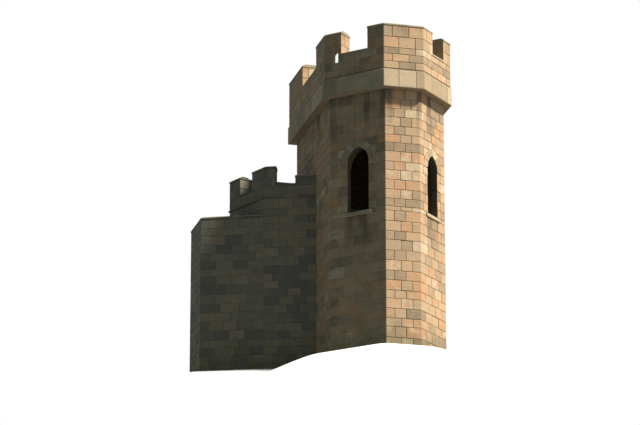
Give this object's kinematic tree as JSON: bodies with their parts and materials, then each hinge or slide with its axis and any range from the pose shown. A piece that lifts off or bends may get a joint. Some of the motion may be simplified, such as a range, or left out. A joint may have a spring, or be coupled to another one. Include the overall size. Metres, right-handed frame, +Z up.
{
  "type": "castle keep",
  "caption": "Small sandstone castle keep: battlemented tower with a canted front and pointed lancets, a lower turret on its flank and a plain low wall.",
  "frame": {"origin": "centre of the tower's plan, on the ground", "axes": "+Z up, the tower's front face looks along -Y, the turret stands on its -X flank"},
  "size_m": [6.5811, 5.6762, 9.48],
  "materials": {
    "tower_stone": "coursed sandstone blocks, weathered",
    "dressed_stone": "dressed sandstone, weathered",
    "turret_stone": "grey-green weathered sandstone rubble",
    "paving_stone": "worn stone flags",
    "oak": "old grey-brown oak"
  },
  "bodies": {
    "root": {"front_wall": "tower_stone", "front_left_wall": "tower_stone", "front_right_wall": "tower_stone", "left_wall": "tower_stone", "right_wall": "tower_stone", "back_wall": "tower_stone", "front_merlon": "tower_stone", "left_front_merlon": "tower_stone", "right_front_merlon": "tower_stone", "left_back_merlon": "tower_stone", "right_back_merlon": "tower_stone", "back_merlon": "tower_stone", "front_parapet": "tower_stone", "front_left_parapet": "tower_stone", "front_right_parapet": "tower_stone", "left_parapet": "tower_stone", "right_parapet": "tower_stone", "back_parapet": "tower_stone", "merlon_copings": "dressed_stone", "crenel_copings": "dressed_stone", "lancet_sills": "dressed_stone", "doorway_surround": "dressed_stone", "doorstep": "dressed_stone", "turret_string": "dressed_stone", "turret_copings": "dressed_stone", "low_wall_coping": "dressed_stone", "turret_front_wall": "turret_stone", "turret_side_wall": "turret_stone", "turret_back_wall": "turret_stone", "turret_corner_merlon": "turret_stone", "turret_side_merlon": "turret_stone", "turret_back_merlon": "turret_stone", "turret_stub": "turret_stone", "low_wall": "turret_stone", "low_return_wall": "turret_stone", "ground_floor": "paving_stone", "roof_deck": "paving_stone", "turret_floor": "paving_stone", "turret_deck": "paving_stone", "floor_joists": "oak", "upper_floor": "oak", "roof_beams": "oak"}
  },
  "joints": []
}
